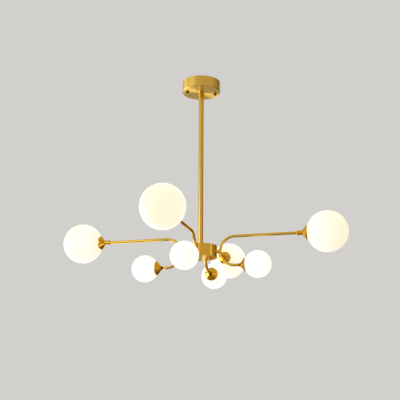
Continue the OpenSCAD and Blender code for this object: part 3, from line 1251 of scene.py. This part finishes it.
@dataclass
class Lamp(SubAssembly):
    """One lamp: cup, holder, bulb, seal and globe. Heights run along its axis from the cup's back."""

    side: Side
    tier: Tier
    cup_points: int = 72
    sheet: float = 1.2  # thickness of the cup's metal
    back_margin: float = 1.15  # width of the cup's flat back round the tube
    back_edge: float = 0.4
    floor_h: float = 4.0  # thickness of the cup's floor
    inner_edge: float = 0.3  # rounding of the edges inside
    cone_r: float = 24.4
    cone_h: float = 14.6
    cone_edge: float = 0.25
    step_h: float = 0.7  # height of the step from the cone out to the lip
    rim_edge: float = 0.45
    rim_bevel: float = 0.8
    ring_points: int = 48
    ring_wall: float = 1.9
    ring_h: float = 2.2
    ring_edge: float = 0.88
    ring_overlap: float = 0.3  # how far the ring reaches into the cup
    globe_points: int = 96
    globe_steps: int = 48
    glass: float = 2.5
    neck_wall: float = 2.7
    neck_gap: float = 0.7  # room between the neck and the cup's lip
    neck_chord: float = 0.35  # longest chord along the neck, short enough for the thread's shape
    neck_edge: float = 0.6  # rounding of the neck's outer edge
    neck_edge_middle: float = 0.18  # how far that rounding's middle stays from the corner
    bore_edge: float = 0.5
    thread_h: float = 0.45
    thread_z: float = 1.0  # where the thread's middle starts above the neck's end
    thread_pitch: float = 4.0
    thread_turns: float = 0.6
    thread_half: float = 0.8  # half the thread's width
    thread_fade: float = 0.125  # part of a turn in which each end of the thread runs out

    @property
    def tag(self) -> str:
        """The part of the node names that tells this lamp from the others."""
        return f"{self.side.label}_{self.tier.value}"

    @property
    def place(self) -> Matrix:
        """Where the lamp's axes stand, in metres."""
        return lamp_place(self.side, self.tier)

    @property
    def cup_box(self) -> Extent:
        """The right arm's cup of this size, as all four are alike."""
        return Extent.of(f"cup_right_{self.tier.value}")

    def build(self) -> list[bpy.types.Object]:
        """Dresses the holder, the bulb and the seal, and makes the cup, the globe and the ring.

        Returns:
            The pieces.
        """
        pieces = [
            self.keep(f"lampholder_{self.tag}", STEATITE),
            self.keep(f"bulb_{self.tag}", BULB_GLASS),
            self.keep(f"seal_{self.tag}", SILICONE),
            self.cup(),
            self.globe(),
        ]
        if self.tier is Tier.SMALL:
            pieces.append(self.ring())
        return pieces

    def cup(self) -> bpy.types.Object:
        """Spins the cup: a cone with a fine step and a straight lip with a rolled rim.

        Returns:
            The cup.
        """
        box = self.cup_box
        bore_r = tube_radius()
        back_r = bore_r + self.back_margin
        slope = (self.cone_r - back_r) / self.cone_h
        wall = self.sheet * math.hypot(1, slope)
        floor_r = back_r + slope * self.floor_h - wall
        rim_r = box.size.z / 2
        rim_z = box.size.x
        outline = rounded([
            (bore_r, 0.0, CRISP),
            (back_r, 0.0, self.back_edge),
            (self.cone_r, self.cone_h, self.cone_edge),
            (rim_r, self.cone_h + self.step_h, self.rim_edge),
            (rim_r, rim_z, self.rim_edge),
            (rim_r - self.sheet, rim_z - self.rim_bevel, self.inner_edge),
            (rim_r - self.sheet, self.cone_h, CRISP),
            (self.cone_r - wall, self.cone_h, CRISP),
            (floor_r, self.floor_h, self.inner_edge),
            (bore_r, self.floor_h, CRISP),
        ])
        piece = turned(f"spun_cup_{self.tag}", outline, self.cup_points)
        return self.seat(piece, self.place, CUP_BRASS, FIXTURE, f"cup_{self.tag}")

    def ring(self) -> bpy.types.Object:
        """Turns the dark ring that closes the joint between the arm and a small cup; its dark colour is
        painted shade of that joint.

        Returns:
            The ring.
        """
        bore_r = tube_radius()
        outer_r = bore_r + self.ring_wall
        outline = rounded([
            (bore_r, -self.ring_h, CRISP),
            (outer_r, -self.ring_h, self.ring_edge),
            (outer_r, self.ring_overlap, self.ring_edge),
            (bore_r, self.ring_overlap, CRISP),
        ])
        piece = turned(f"joint_ring_{self.tag}", outline, self.ring_points)
        return self.seat(piece, self.place, JOINT_SHADE_BRASS, FIXTURE)

    def globe(self) -> bpy.types.Object:
        """Blows the globe with its neck, whose thread stands in the cup's lip.

        Returns:
            The globe.
        """
        cup = self.cup_box
        box = Extent.of(f"globe_right_{self.tier.value}")
        neck_r = cup.size.z / 2 - self.sheet - self.neck_gap
        bore_r = neck_r - self.neck_wall
        radius = round(box.size.z / 2)
        inner = radius - self.glass
        centre = box.high.x - cup.low.x - radius
        start = box.low.x - cup.low.x
        if self.tier is Tier.SMALL:
            start = Extent.of("seal_right_small").high.x - cup.low.x
        edge_top = start + self.neck_edge
        neck_top = centre - math.sqrt(radius**2 - neck_r**2)
        neck = split((neck_r, edge_top), (neck_r, neck_top - CRISP), self.neck_chord)
        outer_start = -math.degrees(math.acos(neck_r / radius))
        inner_start = -math.degrees(math.acos(bore_r / inner))
        outline = (
            [(bore_r + self.bore_edge, start), (neck_r - self.neck_edge, start)]
            + [(neck_r - self.neck_edge_middle, start + self.neck_edge_middle)]
            + neck
            + arc((0.0, centre), radius, outer_start, 90.0, self.globe_steps)[:-1]
            + [(0.0, centre + radius), (0.0, centre + inner)]
            + arc((0.0, centre), inner, 90.0, inner_start, self.globe_steps)[1:]
            + [(bore_r, edge_top)]
        )

        def thread(angle: float, r: float, z: float) -> float:
            """Raises the moulded thread on the neck.

            Args:
                angle: direction from the lamp's axis, in radians.
                r: radius of the outline there.
                z: height of the outline there.

            Returns:
                What to add to the radius.
            """
            if abs(r - neck_r) > TINY:
                return 0.0
            part = angle / FULL_TURN
            middle = start + self.thread_z + self.thread_pitch * self.thread_turns * part
            rise = max(0.0, 1 - ((z - middle) / self.thread_half) ** 2)
            ends = min(1.0, min(part, 1 - part) / self.thread_fade)
            return self.thread_h * rise * ends

        finish = LARGE_OPAL if self.tier is Tier.LARGE else SMALL_OPAL
        piece = turned(f"blown_globe_{self.tag}", outline, self.globe_points, swell=thread)
        return self.seat(piece, self.place, finish, f"globe_{self.tag}", f"globe_{self.tag}")


# ---------------------------------------------------------------- studio


@dataclass(frozen=True)
class SoftBox:
    """A square lamp behind a cloth, which lights evenly and shows as a soft square in metal."""

    name: str
    at: tuple[float, float, float]
    side: float
    power: float
    colour: str

    def hang(self, target: Vector) -> None:
        """Hangs the soft box, turned to a point of the object.

        Args:
            target: the point, in metres.
        """
        data = bpy.data.lights.new(self.name, "AREA")
        data.shape = "SQUARE"
        data.size = self.side * MM
        data.energy = self.power
        data.color = linear(self.colour)[:3]
        lamp = bpy.data.objects.new(self.name, data)
        lamp.location = Vector(self.at) * MM
        lamp.rotation_euler = (target - lamp.location).to_track_quat("-Z", "Y").to_euler()
        lamp.visible_camera = False
        bpy.context.scene.collection.objects.link(lamp)


# A key at the left, like a window, a weaker box before it, and a low one that lights the undersides.
SOFT_BOXES = (
    SoftBox("key_softbox", (-2800.0, 100.0, -1000.0), 1800.0, 45.0, "#F6FAFF"),
    SoftBox("front_softbox", (-2100.0, -2300.0, -500.0), 2000.0, 16.0, "#FFFDF8"),
    SoftBox("low_softbox", (-1700.0, 1900.0, -2000.0), 1400.0, 18.0, "#FFFDF8"),
)


@dataclass
class Studio:
    """The photograph's camera, a plain pale floor and background, soft light, and cards for the metal.

    Metal shows what is round it, so three cards stand where no camera sees them, and their tones paint
    light and shade into the metal as reflections. A fading card at the right gives the brass its warm,
    darker side, dark felt beside it a narrow dark line, and brown cloth on the floor darkens what faces
    down. They cast no shadow and light nothing but metal and glass.
    """

    # The camera was solved from the outlines of the eight globes in the photograph.
    camera_at: tuple[float, float, float] = (729.22, -2750.58, -1257.39)
    camera_right: tuple[float, float, float] = (0.96673, 0.25574, 0.00542)
    camera_up: tuple[float, float, float] = (0.06247, -0.25659, 0.9645)
    focal_px: float = 781.57
    image_px: float = 400.0
    sensor: float = 36.0
    sight: float = 100000.0  # how far the camera sees
    floor_drop: float = 3200.0
    floor_side: float = 160000.0
    backdrop: str = "#D2D0CC"
    daylight: str = "#F4F3F0"
    daylight_strength: float = 0.75
    aim_z: float = -450.0  # height at which the soft boxes aim
    card_steps: int = 30
    card_radius: float = 3200.0
    card_start: float = -86.0  # directions in degrees from +X
    card_end: float = 62.0
    card_top: float = 1800.0
    felt_end: float = 88.0
    felt_top: float = 300.0
    cloth_radius: float = 3600.0
    cloth_lift: float = 20.0  # how far the cloth lies above the floor

    def build(self) -> None:
        """Makes the camera, the floor, the cards, the world and the soft boxes."""
        self.camera()
        self.ground()
        self.cards()
        self.world()
        for box in SOFT_BOXES:
            box.hang(Vector((0.0, 0.0, self.aim_z)) * MM)

    def camera(self) -> None:
        """Puts the camera where the photograph was taken from."""
        data = bpy.data.cameras.new("photo_camera")
        data.sensor_fit = "HORIZONTAL"
        data.sensor_width = self.sensor
        data.lens = self.focal_px / self.image_px * self.sensor
        data.clip_end = self.sight * MM
        camera = bpy.data.objects.new("photo_camera", data)
        right, up = Vector(self.camera_right).normalized(), Vector(self.camera_up).normalized()
        axes = Matrix((right, up, right.cross(up))).transposed().to_4x4()
        camera.matrix_world = Matrix.Translation(Vector(self.camera_at) * MM) @ axes
        bpy.context.scene.collection.objects.link(camera)
        bpy.context.scene.camera = camera

    def stage_sheet(
        self, name: str, corners: list[Vector], faces: list[list[int]], finish: Finish
    ) -> bpy.types.Object:
        """Makes a sheet that belongs to the studio.

        Args:
            name: the sheet's name.
            corners: its points, in millimetres.
            faces: its faces, as indices of the points.
            finish: its finish.

        Returns:
            The new object.
        """
        mesh = bpy.data.meshes.new(name)
        mesh.from_pydata([corner * MM for corner in corners], [], faces)
        sheet = bpy.data.objects.new(name, mesh)
        bpy.context.scene.collection.objects.link(sheet)
        finish.dress(sheet)
        return sheet

    def ground(self) -> None:
        """Lays the floor of the room far below the light."""
        half = self.floor_side / 2
        signs = ((-1, -1), (1, -1), (1, 1), (-1, 1))
        corners = [Vector((half * x, half * y, -self.floor_drop)) for x, y in signs]
        self.stage_sheet("floor", corners, [[0, 1, 2, 3]], FLOOR_PAINT)

    def curved_card(
        self, name: str, start: float, end: float, top: float, finish: Finish
    ) -> bpy.types.Object:
        """Stands a curved card on the floor.

        Args:
            name: the card's name.
            start: direction of its first edge, in degrees from +X.
            end: direction of its last edge.
            top: height of its upper edge.
            finish: its finish.

        Returns:
            The new object.
        """
        corners: list[Vector] = []
        faces: list[list[int]] = []
        for step in range(self.card_steps + 1):
            angle = math.radians(start + (end - start) * step / self.card_steps)
            foot = Vector((math.cos(angle), math.sin(angle), 0.0)) * self.card_radius
            corners += [foot - Vector((0, 0, self.floor_drop)), foot + Vector((0, 0, top))]
            if step:
                faces.append([2 * step - 2, 2 * step, 2 * step + 1, 2 * step - 1])
        return self.stage_sheet(name, corners, faces, finish)

    def floor_card(self) -> bpy.types.Object:
        """Lays a round cloth on the floor.

        Returns:
            The new object.
        """
        height = self.cloth_lift - self.floor_drop
        corners: list[Vector] = []
        for step in range(self.card_steps):
            angle = FULL_TURN * step / self.card_steps
            corners.append(
                Vector((self.cloth_radius * math.cos(angle), self.cloth_radius * math.sin(angle), height))
            )
        return self.stage_sheet("floor_card", corners, [list(range(self.card_steps))], CLOTH)

    def cards(self) -> None:
        """Sets up the three cards, for metal and glass alone to see."""
        cards = (
            self.curved_card("room_card", self.card_start, self.card_end, self.card_top, CARD_PAINT),
            self.curved_card("low_card", self.card_end, self.felt_end, self.felt_top, FELT),
            self.floor_card(),
        )
        for card in cards:
            card.visible_camera = False
            card.visible_shadow = False
            card.visible_diffuse = False

    def world(self) -> None:
        """Shows one plain background to the camera and to metal and glass, and gives daylight."""
        world = bpy.data.worlds.new("studio")
        bpy.context.scene.world = world
        world.use_nodes = True
        tree = world.node_tree
        tree.nodes.clear()
        light = add_node(
            tree, "ShaderNodeBackground",
            values={"Color": linear(self.daylight), "Strength": self.daylight_strength},
        )
        plain = add_node(
            tree, "ShaderNodeBackground", values={"Color": linear(self.backdrop), "Strength": 1.0}
        )
        path = add_node(tree, "ShaderNodeLightPath")
        seen = path.outputs["Is Camera Ray"]
        for ray in ("Is Glossy Ray", "Is Transmission Ray"):
            seen = add_node(
                tree, "ShaderNodeMath", {"operation": "MAXIMUM"}, links={0: seen, 1: path.outputs[ray]}
            ).outputs[0]
        both = add_node(
            tree, "ShaderNodeMixShader", links={0: seen, 1: light.outputs[0], 2: plain.outputs[0]}
        )
        add_node(tree, "ShaderNodeOutputWorld", links={"Surface": both.outputs[0]})


def main() -> None:
    """Builds the studio and then the light, one sub-assembly after another, and reports each piece."""
    logging.basicConfig(level=logging.INFO, format="%(name)s: %(message)s")
    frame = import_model()
    bpy.context.scene.view_settings.view_transform = "Standard"
    Studio().build()
    parts: list[SubAssembly] = [Canopy(frame), StemAndHub(frame)]
    for side in Side:
        parts.append(Arm(frame, side))
        parts += [Lamp(frame, side, tier) for tier in Tier]
    for part in parts:
        for piece in part.build():
            LOG.info("built %s in %s", piece.name, piece.active_material.name)


if __name__ == "__main__":
    main()
